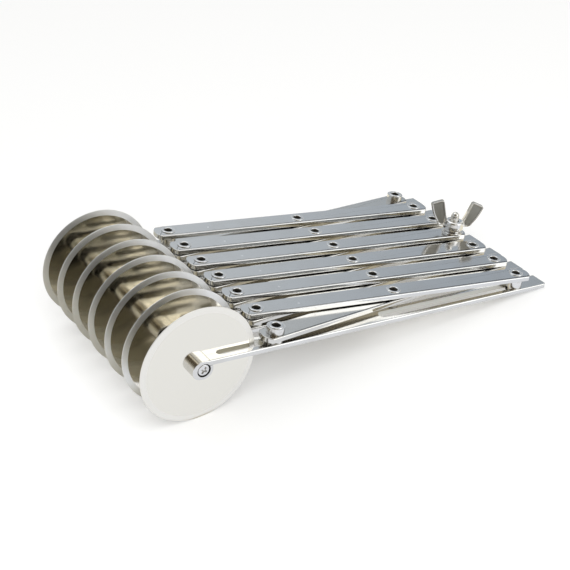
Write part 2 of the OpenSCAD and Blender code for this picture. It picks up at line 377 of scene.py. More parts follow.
@dataclass(frozen=True)
class Wire:
    """A value in a shader tree, with the arithmetic that Math nodes do on it."""

    graph: "Graph"
    socket: bpy.types.NodeSocket

    __add__ = node_math("ADD")
    __sub__ = node_math("SUBTRACT")
    __mul__ = node_math("MULTIPLY")
    __pow__ = node_math("POWER")
    __abs__ = node_math("ABSOLUTE")
    __lt__ = node_math("LESS_THAN")
    __gt__ = node_math("GREATER_THAN")
    __or__ = node_math("MAXIMUM")
    root = node_math("SQRT")
    fold = node_math("PINGPONG")

    def ramp(self, low: float, high: float, to_low: float = 0.0, to_high: float = 1.0) -> "Wire":
        """Maps the range from low to high smoothly to another range."""
        values = {"Value": self, "From Min": low, "From Max": high, "To Min": to_low, "To Max": to_high}
        return self.graph.wire("ShaderNodeMapRange", values, "Result", interpolation_type="SMOOTHSTEP")


class Graph:
    """Adds nodes to one shader tree and wires them up."""

    def __init__(self, tree: bpy.types.NodeTree) -> None:
        """Keeps the tree that the nodes go into."""
        self.tree = tree

    def feed(self, target: bpy.types.NodeSocket, value: object) -> None:
        """Wires a socket to a value in the tree, or sets it where the value is plain."""
        if isinstance(value, Wire):
            self.tree.links.new(value.socket, target)
        else:
            target.default_value = (*value, 1.0) if target.type == "RGBA" else value

    def wires(self, kind: str, inputs: Inputs, *names: str | int, **settings: object) -> list[Wire]:
        """Adds a node and wires it up.

        Args:
            kind: The node's class name.
            inputs: What goes into it, by the name or number of each input.
            *names: The outputs to go on with.
            **settings: Properties of the node.

        Returns:
            Those outputs, in order.
        """
        node = self.tree.nodes.new(kind)
        for name, value in settings.items():
            setattr(node, name, value)
        for key, value in inputs.items():
            self.feed(node.inputs[key], value)
        return [Wire(self, node.outputs[name]) for name in names]

    def wire(self, kind: str, inputs: Inputs, name: str | int = 0, **settings: object) -> Wire:
        """Adds a node as wires does, and gives one of its outputs."""
        return self.wires(kind, inputs, name, **settings)[0]

    def math(self, operation: str, *values: object) -> Wire:
        """Adds a Math node on wires or numbers."""
        return self.wire("ShaderNodeMath", dict(enumerate(values)), operation=operation)

    def vector(self, operation: str, *values: object) -> Wire:
        """Adds a Vector Math node on wires or plain vectors."""
        return self.wire("ShaderNodeVectorMath", dict(enumerate(values)), operation=operation)

    def scaled(self, vector: Wire, scale: object) -> Wire:
        """Scales a vector by a wire or a number."""
        return self.wire("ShaderNodeVectorMath", {"Vector": vector, "Scale": scale}, operation="SCALE")

    def split(self, vector: Wire) -> list[Wire]:
        """Separates a vector into X, Y and Z."""
        return self.wires("ShaderNodeSeparateXYZ", {"Vector": vector}, "X", "Y", "Z")

    def noise(self, vector: Wire, scale: float = 1.0, detail: float = 2.0, roughness: float = 0.5) -> Wire:
        """Adds a noise texture and gives its value."""
        values = {"Vector": vector, "Scale": scale, "Detail": detail, "Roughness": roughness}
        return self.wire("ShaderNodeTexNoise", values, "Fac")

    def blend(self, factor: Wire, low: object, high: object) -> Wire:
        """Mixes two colours, wired or plain.

        Args:
            factor: How much of the second colour shows.
            low: The first colour.
            high: The second colour.

        Returns:
            The mixed colour.
        """
        node = self.tree.nodes.new("ShaderNodeMix")
        node.data_type = "RGBA"
        first, second, result = (s for s in (*node.inputs, *node.outputs) if s.type == "RGBA")
        for socket, value in ((node.inputs["Factor"], factor), (first, low), (second, high)):
            self.feed(socket, value)
        return Wire(self, result)

    def mask(self, effect: bpy.types.NodeTree, **values: object) -> Wire:
        """Places a shared effect, with its inputs by name, and gives its mask."""
        return self.wire("ShaderNodeGroup", values, "Mask", node_tree=effect)


class Effect(Graph):
    """A shader group that makes masks out of a vector and some numbers."""

    def __init__(self, name: str, *numbers: str) -> None:
        """Starts the group with its inputs.

        Args:
            name: The group's name.
            *numbers: The names of its inputs beside the vector.
        """
        super().__init__(bpy.data.node_groups.new(name, "ShaderNodeTree"))
        self.tree.interface.new_socket(name="Vector", in_out="INPUT", socket_type="NodeSocketVector")
        for number in numbers:
            self.tree.interface.new_socket(name=number, in_out="INPUT", socket_type="NodeSocketFloat")
        self.given = self.wires("NodeGroupInput", {}, "Vector", *numbers)

    def hand_out(self, **masks: Wire) -> bpy.types.NodeTree:
        """Makes an output of each mask, by its name, and gives the finished group."""
        for name in masks:
            self.tree.interface.new_socket(name=name, in_out="OUTPUT", socket_type="NodeSocketFloat")
        self.wires("NodeGroupOutput", masks)
        return self.tree


class Effects:
    """The surface effects that several finishes share, each a shader group."""

    def __init__(self) -> None:
        """Builds every group once."""
        self.grain = self._grain()
        self.smudge = self._smudge()
        self.hairline = self._hairline()
        self.turning = self._turning()
        self.grinding = self._grinding()

    @staticmethod
    def _grain() -> bpy.types.NodeTree:
        """Builds fine drawn grain that runs along X."""
        effect = Effect("Drawn grain", "Along", "Across")
        vector, along, across = effect.given
        stretch = effect.wire("ShaderNodeCombineXYZ", {"X": along, "Y": across, "Z": across})
        return effect.hand_out(Mask=effect.noise(effect.vector("MULTIPLY", vector, stretch), 1.0, 3.0, 0.6))

    @staticmethod
    def _smudge() -> bpy.types.NodeTree:
        """Builds the soft cloudy marks that handling leaves on polished steel."""
        effect = Effect("Handling smudges", "Size")
        vector, size = effect.given
        cloud = effect.noise(effect.scaled(vector, size), 1.0, 4.0, 0.55)
        return effect.hand_out(Mask=cloud.ramp(0.42, 0.72))

    @staticmethod
    def _hairline() -> bpy.types.NodeTree:
        """Builds sparse hair scratches at two slants."""
        effect = Effect("Hair scratches", "Size")
        vector, size = effect.given
        masks = []
        for slant, seed in ((0.35, 0.0), (-0.9, 7.3)):
            values = {"Vector": vector, "Rotation": (0.0, 0.0, slant), "Location": (seed, seed, 0.0)}
            turned = effect.wire("ShaderNodeMapping", values)
            drawn = effect.vector("MULTIPLY", effect.scaled(turned, size), (0.04, 1.0, 1.0))
            masks.append(effect.noise(drawn, 1.0, 1.0).ramp(0.70, 0.76))
        return effect.hand_out(Mask=masks[0] | masks[1])

    @staticmethod
    def _turning() -> bpy.types.NodeTree:
        """Builds rings round the Y axis, as a lathe or a grinding wheel leaves."""
        effect = Effect("Turning rings", "Rings")
        vector, rings = effect.given
        flat = effect.vector("MULTIPLY", vector, (1.0, 0.0, 1.0))
        radius = effect.wire("ShaderNodeVectorMath", {0: flat}, "Value", operation="LENGTH")
        spot = effect.wire("ShaderNodeCombineXYZ", {"X": radius * rings})
        mixed = effect.vector("ADD", spot, effect.scaled(vector, 90.0))
        return effect.hand_out(Mask=effect.noise(mixed, 1.0, 3.0, 0.6), Radius=radius)

    @staticmethod
    def _grinding() -> bpy.types.NodeTree:
        """Builds fine marks that run outward from the Y axis, as a cup wheel leaves on a bevel."""
        effect = Effect("Grinding marks", "Marks")
        vector, marks = effect.given
        way = effect.vector("NORMALIZE", effect.vector("MULTIPLY", vector, (1.0, 0.0, 1.0)))
        mixed = effect.vector("ADD", effect.scaled(way, marks), effect.scaled(vector, 900.0))
        return effect.hand_out(Mask=effect.noise(mixed, 1.0, 2.0, 0.6))


EFFECTS = Effects()


class Metal(Graph):
    """The shader tree of one metal."""

    def __init__(self, name: str) -> None:
        """Starts the material with its shader and its object coordinates.

        Args:
            name: The material's name.
        """
        self.material = bpy.data.materials.new(name)
        self.material.use_nodes = True
        super().__init__(self.material.node_tree)
        self.shader = self.tree.nodes["Principled BSDF"]
        self.shader.inputs["Metallic"].default_value = 1.0
        self.coordinates = self.wire("ShaderNodeTexCoord", {}, "Object")

    def seen_from(self, where: Matrix) -> Wire:
        """Turns the object coordinates into a place's own, in metres."""
        spot, turn = where.to_translation(), where.to_euler("XYZ")
        values = {"Vector": self.coordinates, "Location": spot, "Rotation": turn}
        return self.wire("ShaderNodeMapping", values, vector_type="TEXTURE")

    def finish(self, colour: Wire, rough: Wire, height: Wire) -> Material:
        """Feeds the shader.

        Args:
            colour: The metal's colour.
            rough: Its roughness.
            height: The relief of its marks in millimetres.

        Returns:
            The finished material.
        """
        normal = self.wire("ShaderNodeBump", {"Height": height, "Distance": MM, "Strength": 1.0}, "Normal")
        for name, wire in (("Base Color", colour), ("Roughness", rough), ("Normal", normal)):
            self.feed(self.shader.inputs[name], wire)
        return self.material


# Finishes

@dataclass(frozen=True)
class BarSteel:
    """Satin stainless flat bar, drawn along its length."""

    name: str
    clean: Colour
    handled: Colour
    gloss_low: float
    gloss_high: float
    weld_spot: bool = False
    fork: bool = False

    # Relief of the marks, places in millimetres from the axle, the tone of the punch spots, and the painted
    # shade in the roll crease, on the slot and slit walls and in the eye's bore
    wave_h: float = 0.010
    grain_h: float = 0.0016
    hair_h: float = 0.004
    roll_h: float = 0.05
    spot_at: Point = (58.4, -3.0)
    roll_x: float = 2.5
    openings: tuple[Triple, ...] = ((7.6, 31.5, 2.66), (94.0, 186.0, 2.66), (-6.0, 7.9, 0.64))
    sink_r: float = 3.2
    spot_tone: Colour = (0.9, 0.9, 0.88)
    roll_shade_tone: Colour = (0.2, 0.19, 0.17)
    wall_shade_tone: Colour = (0.60, 0.585, 0.52)
    bore_shade_tone: Colour = (0.13, 0.125, 0.11)

    def material(self, where: Matrix) -> Material:
        """Builds the finish.

        Args:
            where: A place whose X runs along the bar.

        Returns:
            The material.
        """
        metal = Metal(self.name)
        along = metal.seen_from(where)
        grain = metal.mask(EFFECTS.grain, Vector=along, Along=60.0, Across=5200.0)
        smudge = metal.mask(EFFECTS.smudge, Vector=along, Size=70.0)
        hair = metal.mask(EFFECTS.hairline, Vector=along, Size=1500.0)
        wave = metal.noise(metal.vector("MULTIPLY", along, (14.0, 90.0, 90.0)), 1.0, 1.0)
        colour = metal.blend(smudge * 0.5, self.clean, self.handled)
        rough = grain.ramp(0.3, 0.7, self.gloss_low, self.gloss_high) + smudge * 0.05 + hair * 0.08
        height = wave * self.wave_h + grain * self.grain_h - hair * self.hair_h
        x, y, z = metal.split(metal.seen_from(LATTICE.deck()))
        if self.weld_spot:
            spot = self._spots(x, y)
            rough += spot * 0.35
            colour = metal.blend(spot, colour, self.spot_tone)
        if self.fork:
            line, walls = self._roll_line(x, z), self._shaded_walls(x, y, z)
            bore = (x ** 2.0 + z ** 2.0).root() < self.sink_r * MM
            height -= line * self.roll_h
            # Painted shade in the roll crease, on top of the groove's relief.
            colour = metal.blend(line * 0.5, colour, self.roll_shade_tone)
            # Painted shade on the slot and slit walls, and darker still in the eye's bore.
            colour = metal.blend(walls, colour, self.wall_shade_tone)
            colour = metal.blend(bore, colour, self.bore_shade_tone)
            rough += (walls | bore) * 0.25
        return metal.finish(colour, rough, height)

    @staticmethod
    def _off_row(y: Wire) -> Wire:
        """Measures how far a point is from the nearest arm's centre line."""
        pitch = LATTICE.pitch * MM
        return (y + 20 * pitch).fold(pitch / 2)

    def _spots(self, x: Wire, y: Wire) -> Wire:
        """Masks the small punch mark behind each front pivot, one to a row."""
        back, side = self.spot_at
        reach = (self._off_row(y - side * MM) ** 2.0 + (x - back * MM) ** 2.0).root()
        return reach.ramp(0.3 * MM, 0.9 * MM, 0.5, 0.0)

    def _roll_line(self, x: Wire, z: Wire) -> Wire:
        """Masks the faint line across the bar's top face where it starts to roll into the eye, for the
        groove's relief and the painted shade in it.
        """
        off = abs(x - self.roll_x * MM)
        return off.ramp(0.05 * MM, 0.2 * MM, 1.0, 0.0) * (z > (LATTICE.arm_top - 0.1) * MM)

    def _shaded_walls(self, x: Wire, y: Wire, z: Wire) -> Wire:
        """Masks the walls of both slots and of the slit, which are rougher and get painted shade.

        Args:
            x: Distance behind the axle.
            y: Distance across the rows.
            z: Height above the axle.

        Returns:
            The mask.
        """
        off = self._off_row(y)
        blade, rear, slit = (
            (off < half * MM) * (x > start * MM) * (x < end * MM) for start, end, half in self.openings)
        return (blade | rear | slit) * (z < (LATTICE.arm_top - 0.03) * MM)


@dataclass(frozen=True)
class BladeSteel:
    """Polished disc with a ground bevel at its rim."""

    name: str
    face: Colour
    bevel: Colour
    bevel_gloss: float
    face_gloss: float = 0.065
    bevel_r: float = 24.8
    ring_h: float = 0.0010
    mark_h: float = 0.012

    def material(self) -> Material:
        """Builds the finish, which is centred on the axle line."""
        metal = Metal(self.name)
        centred = metal.seen_from(Matrix.Translation(LATTICE.axle))
        values = {"Vector": centred, "Rings": 1600.0}
        rings, radius = metal.wires("ShaderNodeGroup", values, "Mask", "Radius", node_tree=EFFECTS.turning)
        smudge = metal.mask(EFFECTS.smudge, Vector=centred, Size=45.0)
        marks = metal.mask(EFFECTS.grinding, Vector=centred, Marks=420.0)
        ground = radius.ramp((self.bevel_r - 0.05) * MM, (self.bevel_r + 0.05) * MM)
        face = rings.ramp(0.3, 0.7, self.face_gloss, self.face_gloss + 0.03) + smudge * 0.04
        rough = face + ground * (self.bevel_gloss - self.face_gloss)
        height = rings * self.ring_h + marks * ground * self.mark_h
        return metal.finish(metal.blend(ground, self.face, self.bevel), rough, height)


@dataclass(frozen=True)
class TurnedSteel:
    """Bright small hardware: rivets, rings, screws and the stud."""

    name: str
    clean: Colour
    worn: Colour
    gloss: float
    grit: float

    def material(self) -> Material:
        """Builds the finish."""
        metal = Metal(self.name)
        deck = metal.seen_from(LATTICE.deck())
        grit = metal.noise(deck, 1800.0)
        colour = metal.blend(metal.mask(EFFECTS.smudge, Vector=deck, Size=260.0), self.clean, self.worn)
        return metal.finish(colour, grit.ramp(0.3, 0.7, self.gloss, self.gloss + 0.1), grit * self.grit)


@dataclass(frozen=True)
class CastSteel:
    """Tumbled casting with a polished border and a rough sunk panel on each wing."""

    name: str
    border: Colour
    panel: Colour
    gloss: float
    panel_gloss: float
    panel_half: float
    hub_r: float
    border_h: float = 0.006
    panel_h: float = 0.05

    def material(self, where: Matrix) -> Material:
        """Builds the finish.

        Args:
            where: The nut's own place, with the wings along X.

        Returns:
            The material.
        """
        metal = Metal(self.name)
        own = metal.seen_from(where)
        x, y, _ = metal.split(own)
        sunk = abs(y).ramp((self.panel_half - 0.05) * MM, (self.panel_half + 0.12) * MM, 1.0, 0.0)
        panel = sunk * abs(x).ramp(self.hub_r * MM, (self.hub_r + 0.6) * MM)
        grit, pits = metal.noise(own, 2600.0, 4.0, 0.6), metal.noise(own, 900.0)
        rough = panel * (self.panel_gloss - self.gloss) + self.gloss + (pits - 0.5) * 0.15
        height = (grit + pits) * (panel * self.panel_h + self.border_h)
        return metal.finish(metal.blend(panel, self.border, self.panel), rough, height)


class Finish(Enum):
    """Every finish on the cutter."""

    ARM = BarSteel("arm_satin", (0.68, 0.67, 0.645), (0.60, 0.585, 0.55), 0.09, 0.15, fork=True)
    TOP_LINK = BarSteel("top_link_satin", (0.68, 0.675, 0.66), (0.62, 0.61, 0.585), 0.08, 0.13,
                        weld_spot=True)
    # The same links one layer down get a darker, warmer copy of the top links' steel: painted shade under the
    # top links.
    LOWER_LINK = BarSteel("lower_link_shaded_satin", (0.66, 0.645, 0.61), (0.59, 0.57, 0.53), 0.09, 0.15)
    BLADE = BladeSteel("blade_polish", (0.80, 0.768, 0.685), (0.835, 0.83, 0.81), 0.34)
    # A copy of the blade steel for the nearest disc only, its bevel toned warmer as painted light.
    END_BLADE = BladeSteel("end_blade_lit_polish", (0.80, 0.768, 0.685), (0.84, 0.81, 0.74), 0.32)
    RIVET = TurnedSteel("rivet_bright", (0.70, 0.70, 0.69), (0.62, 0.615, 0.60), 0.16, 0.004)
    # Painted shade: a near-black steel for the rivets' bore walls, where the inside of the tube falls dark.
    BORE = TurnedSteel("rivet_bore", (0.16, 0.15, 0.13), (0.10, 0.095, 0.08), 0.45, 0.010)
    SLEEVE = TurnedSteel("sleeve_turned", (0.74, 0.73, 0.71), (0.64, 0.62, 0.58), 0.16, 0.006)
    SCREW = TurnedSteel("screw_bright", (0.72, 0.71, 0.69), (0.58, 0.56, 0.53), 0.14, 0.008)
    STUD = TurnedSteel("stud_bright", (0.68, 0.66, 0.62), (0.56, 0.54, 0.49), 0.14, 0.004)
    WING_NUT = CastSteel("wing_nut_cast", (0.72, 0.71, 0.69), (0.36, 0.355, 0.325), 0.16, 0.42, 0.85, 5.6)


# Sub-assemblies

@dataclass
class Assembly:
    """What every sub-assembly shares: its list of pieces, and how a piece is entered on it."""

    pieces: list[bpy.types.Object] = field(default_factory=list, init=False)

    title = "pieces"

    def enter(self, piece: bpy.types.Object, body: str, slot: str, *nodes: str) -> None:
        """Rides a piece on its body and hides the CAD nodes that it stands for.

        Args:
            piece: The finished object.
            body: The CAD body that it moves with.
            slot: The record's material slot; not used.
            *nodes: The CAD nodes that it replaces.
        """
        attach(piece, body)
        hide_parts(*nodes)
        self.pieces.append(piece)

    def dress(self, node: str, material: Material) -> None:
        """Gives a CAD node its material.

        Args:
            node: The node's name.
            material: Its finish.
        """
        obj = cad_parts[node]
        obj.data.materials.clear()
        obj.data.materials.append(material)
        self.pieces.append(obj)

    def report(self) -> None:
        """Logs every piece of the sub-assembly."""
        for piece in self.pieces:
            log.info("%s: %s, %d faces", self.title, piece.name, len(piece.data.polygons))


@dataclass
class ForkArms(Assembly):
    """Seven flat arms, rolled into a slit eye in front and slotted for a blade and a rivet."""

    edge_r: float = 0.8
    corner_r: float = 1.2
    tail_edge: float = 0.2
    eye_proud: float = 0.2
    eye_nose: float = 0.9
    eye_edge: float = 0.3
    eye_seam: float = 0.15
    blend_x: float = 3.2
    bore_r: float = 2.05
    sink_r: float = 3.1
    sink_h: float = 1.4
    slit_w: float = 1.24
    slit_end: float = 9.8
    under_edge: float = 0.25
    blade_slot: Triple = (7.8, 31.3, 5.2)
    rear_over: float = 1.5
    slot_gap: float = 0.1
    pin_d: float = 5.0

    title = "fork arms"

    def side_view(self) -> Profile:
        """Draws the bar and its rolled eye from the side, with the seam where the strip ends.

        Returns:
            X and Z of each point, from the rear top corner round the eye to the rear bottom corner.
        """
        at = LATTICE
        r, seam = at.arm_top + self.eye_proud, at.arm_bot - self.eye_seam
        rise = [(self.blend_x * (1 - t), at.arm_top + self.eye_proud * t * t * (3 - 2 * t))
                for t in (i / 8 for i in range(9))]
        nose = arc(-self.eye_nose, 0.0, r, r, 90, 270, 28)
        back = arc(0.0, 0.0, r, r, 270, 360 + math.degrees(math.asin(seam / r)), 18)
        return [(at.arm_len, at.arm_top), *rise, *nose, *back, (0.0, seam),
                (0.0, at.arm_bot), (at.arm_len, at.arm_bot)]

    def edge_share(self, start: Vector, end: Vector) -> float:
        """Says how far an edge of the arm is rounded.

        Args:
            start: One end of the edge.
            end: Its other end.

        Returns:
            The rounding as a share of the rear corner's radius.
        """
        at = LATTICE
        mid = (start + end) / 2
        at_tail = min(start.x, end.x) > at.arm_len - TOUCH
        on_top = mid.z > at.arm_top - TOUCH
        if abs(start.y - end.y) > TOUCH:
            return self.tail_edge / self.corner_r if at_tail else 0.0
        if at_tail:
            return 1.0
        if at.arm_bot - self.eye_seam - 2 * TOUCH < mid.z < at.arm_bot - TOUCH and mid.x > -TOUCH:
            return 0.0
        if mid.x > self.blend_x:
            return (self.edge_r if on_top else self.under_edge) / self.corner_r
        if mid.x > 0.0 and on_top:
            return (self.eye_edge + (self.edge_r - self.eye_edge) * mid.x / self.blend_x) / self.corner_r
        return self.eye_edge / self.corner_r if mid.x < 0.0 or mid.z < 0.0 else 0.0

    def pattern(self) -> Workpiece:
        """Extrudes one arm, rounds its edges, and cuts its bores, slit and slots."""
        at = LATTICE
        half, low, high = at.arm_w / 2, at.arm_bot - OVER, at.arm_top + OVER
        arm = Workpiece("arm_pattern")
        arm.prism(self.side_view(), -half, half)
        arm.round_edges(self.corner_r, 4, self.edge_share)
        across = Matrix.Rotation(math.pi / 2, 4, "X")
        arm.cut(peg(self.bore_r, -half - OVER, half + OVER), across)
        arm.cut(peg(self.sink_r, half - self.sink_h, half + OVER), across)
        slit, r, wide = Workpiece("slit_cutter"), 2 * at.arm_top, self.slit_w / 2
        slit.prism([(-r, -r), (self.slit_end, -r), (self.slit_end, r), (-r, r)], -wide, wide)
        arm.cut(slit)
        shortest = at.reach * math.cos(math.radians(at.max_angle))
        pin = self.pin_d / 2
        rear = (at.front_x + shortest - pin - self.slot_gap, at.front_x + at.reach + pin + self.rear_over,
                self.pin_d + 2 * self.slot_gap)
        for x0, x1, width in (self.blade_slot, rear):
            slot = Workpiece("slot_cutter")
            w = width / 2
            slot.slab(arc(x1 - w, 0.0, w, w, -90, 90, 14) + arc(x0 + w, 0.0, w, w, 90, 270, 14), low, high)
            arm.cut(slot)
        arm.cut(peg(pin + at.run_gap, low, high), Matrix.Translation((at.front_x, 0.0, 0.0)))
        arm.smooth(32.0, level=True)
        return arm

    def build(self) -> None:
        """Sets an arm in every row."""
        arm, steel = self.pattern(), Finish.ARM.value.material(LATTICE.deck())
        for k in range(1, ROWS + 1):
            self.enter(arm.place(f"fork_arm_{k}", LATTICE.row(k), steel), f"arm_{k}", "arm_steel", f"arm_{k}")
        arm.scrap()


@dataclass
class TongsLinks(Assembly):
    """Six top links and six lower links: straight flat bars with three holes and blunt round ends."""

    width: float = 10.0
    end_r: float = 7.0
    corner_r: float = 1.2
    edge_r: float = 0.8
    end_share: float = 0.3
    far_share: float = 0.2
    under_share: float = 0.3
    hole_r: float = 2.55
    rim: float = 0.4

    title = "tongs links"

    def plan(self) -> Profile:
        """Draws a link from above, with its corners eased.

        Returns:
            X and Y of each point.
        """
        reach, half, r, f = LATTICE.reach, self.width / 2, self.end_r, self.corner_r
        cy = half - f
        cx = math.sqrt((r - f) ** 2 - cy ** 2)
        lean = math.degrees(math.atan2(cy, cx))
        tip = arc(reach + cx, -cy, f, f, -90, -lean, 4) + arc(reach, 0.0, r, r, -lean, lean, 16)[1:]
        tip += arc(reach + cx, cy, f, f, lean, 90, 4)[1:]
        return tip + [(reach - x, -y) for x, y in tip]

    def on_rim(self, point: Vector) -> bool:
        """Says whether a point lies on the link's outline, not in its flat or at a hole."""
        beyond = max(-point.x, point.x - LATTICE.reach, 0.0)
        return abs(point.y) > self.width / 2 - TOUCH or math.hypot(beyond, point.y) > self.end_r - self.rim

    def edge_share(self, start: Vector, end: Vector) -> float:
        """Rounds the near upper edge fully, and the far one, the blunt ends and the lower edges less.

        Args:
            start: One end of the edge.
            end: Its other end.

        Returns:
            The rounding as a share of the near edge's rounding.
        """
        mid = (start + end) / 2
        if abs(start.z - end.z) > TOUCH or not all(self.on_rim(point) for point in (start, end, mid)):
            return 0.0
        if start.z < LATTICE.link_t / 2:
            return self.under_share
        lengthwise = abs((end - start).normalized().x) ** 4
        side = self.far_share if mid.y > self.width / 2 - TOUCH else 1.0
        blunt = self.end_share if mid.x < LATTICE.reach / 2 else self.end_share / 2
        return blunt + (side - blunt) * lengthwise

    def pattern(self) -> Workpiece:
        """Extrudes one link, drills it and rounds its outer edges."""
        link = Workpiece("link_pattern")
        link.slab(self.plan(), 0.0, LATTICE.link_t)
        for x in (0.0, LATTICE.reach / 2, LATTICE.reach):
            link.cut(peg(self.hole_r, -OVER, LATTICE.link_t + OVER), Matrix.Translation((x, 0.0, 0.0)))
        link.round_edges(self.edge_r, 5, self.edge_share)
        link.smooth(32.0, level=True)
        return link

    def build(self) -> None:
        """Sets every link in its layer, with the grain along it."""
        at, link = LATTICE, self.pattern()
        top = Finish.TOP_LINK.value.material(at.top_link(MIDDLE, 0.0))
        # The lower links take the darker copy of the steel, as painted shade.
        lower = Finish.LOWER_LINK.value.material(at.lower_link(MIDDLE, 0.0))
        for k in range(1, ROWS):
            piece = link.place(f"top_bar_{k}", at.top_link(k, 0.0, at.top_b), top)
            self.enter(piece, f"top_{k}", "link_steel", f"top_link_{k}")
            piece = link.place(f"lower_bar_{k}", at.lower_link(k, 0.0, at.low_b), lower)
            self.enter(piece, f"lower_{k}", "link_steel", f"lower_link_{k}")
        link.scrap()


@dataclass
class BladeWheels(Assembly):
    """Seven thin discs with a ground bevel on both sides."""

    diameter: float = 55.0
    thickness: float = 1.2
    bevel: float = 2.7
    edge: float = 0.3
    bore: float = 4.1
    bore_edge: float = 0.15
    facets: int = 192

    title = "blade wheels"

    def pattern(self) -> Workpiece:
        """Turns one disc, with a broken edge at its bore and at its rim."""
        rim, hub, half, tip = self.diameter / 2, self.bore / 2, self.thickness / 2, self.edge / 2
        side = [(hub, half - self.bore_edge), (hub + self.bore_edge, half), (rim - self.bevel, half),
                (rim - 0.06, tip + 0.02), (rim, tip - 0.05)]
        disc = Workpiece("disc_pattern")
        disc.lathe(side + [(r, -z) for r, z in reversed(side)], self.facets)
        disc.smooth(5.0)
        return disc

    def build(self) -> None:
        """Sets a disc in the slit of every arm."""
        disc = self.pattern()
        steel, lit_end_steel = Finish.BLADE.value.material(), Finish.END_BLADE.value.material()
        for k in range(1, ROWS + 1):
            where = LATTICE.row(k) @ Matrix.Rotation(math.pi / 2, 4, "X")
            # The nearest disc takes the copy whose bevel tone is painted light.
            piece = disc.place(f"blade_disc_{k}", where, lit_end_steel if k == ROWS else steel)
            self.enter(piece, f"wheel_{k}", "blade_steel", f"wheel_{k}")
        disc.scrap()


@dataclass
class AxleScrews(Assembly):
    """Seven screws on which the wheels turn, each with a cross recess."""

    shank_d: float = 4.0
    head_d: float = 5.4
    head_h: float = 1.3
    head_edge: float = 0.45
    head_dome: float = 0.33
    recess: float = 0.1
    tail_gap: float = 0.1
    tail_edge: float = 0.4
    cross_w: float = 1.0
    cross_l: float = 3.6
    cross_deep: float = 0.85
    cross_taper: float = 0.45
    cross_over: float = 0.2
    cross_turn: float = 30.0
    facets: int = 48

    title = "axle screws"

    def pattern(self) -> Workpiece:
        """Turns one screw along Z from its head, and cuts the tapered cross."""
        head, shank, ease = self.head_d / 2, self.shank_d / 2, self.head_edge
        length = LATTICE.arm_w - self.recess - self.tail_gap
        dome = arc(head - ease, ease, ease, self.head_dome, -90, 0, 5)
        screw = Workpiece("screw_pattern")
        screw.lathe(
            [(0.0, 0.0), (head * 0.45, 0.02), *dome, (head, self.head_h), (shank, self.head_h),
             (shank, length - self.tail_edge), (shank - self.tail_edge, length), (0.0, length)],
            self.facets, closed=False,
        )
        half, foot, over = self.cross_l / 2, self.cross_l / 2 - self.cross_taper, -self.cross_over
        for turn in (self.cross_turn, self.cross_turn + 90.0):
            arm = Workpiece("cross_cutter")
            arm.prism([(-half, over), (half, over), (foot, self.cross_deep), (-foot, self.cross_deep)],
                      -self.cross_w / 2, self.cross_w / 2)
            screw.cut(arm, Matrix.Rotation(math.radians(turn), 4, "Z"))
        screw.smooth()
        return screw

    def build(self) -> None:
        """Sets a screw in every eye, with its head at the near face."""
        screw, steel = self.pattern(), Finish.SCREW.value.material()
        into = Matrix.Translation(Vector((0.0, (-LATTICE.arm_w / 2 + self.recess) * MM, 0.0)))
        for k in range(1, ROWS + 1):
            where = LATTICE.row(k) @ into @ Matrix.Rotation(-math.pi / 2, 4, "X")
            piece = screw.place(f"wheel_screw_{k}", where, steel)
            self.enter(piece, f"arm_{k}", "bright_steel", f"axle_screw_{k}")
        screw.scrap()


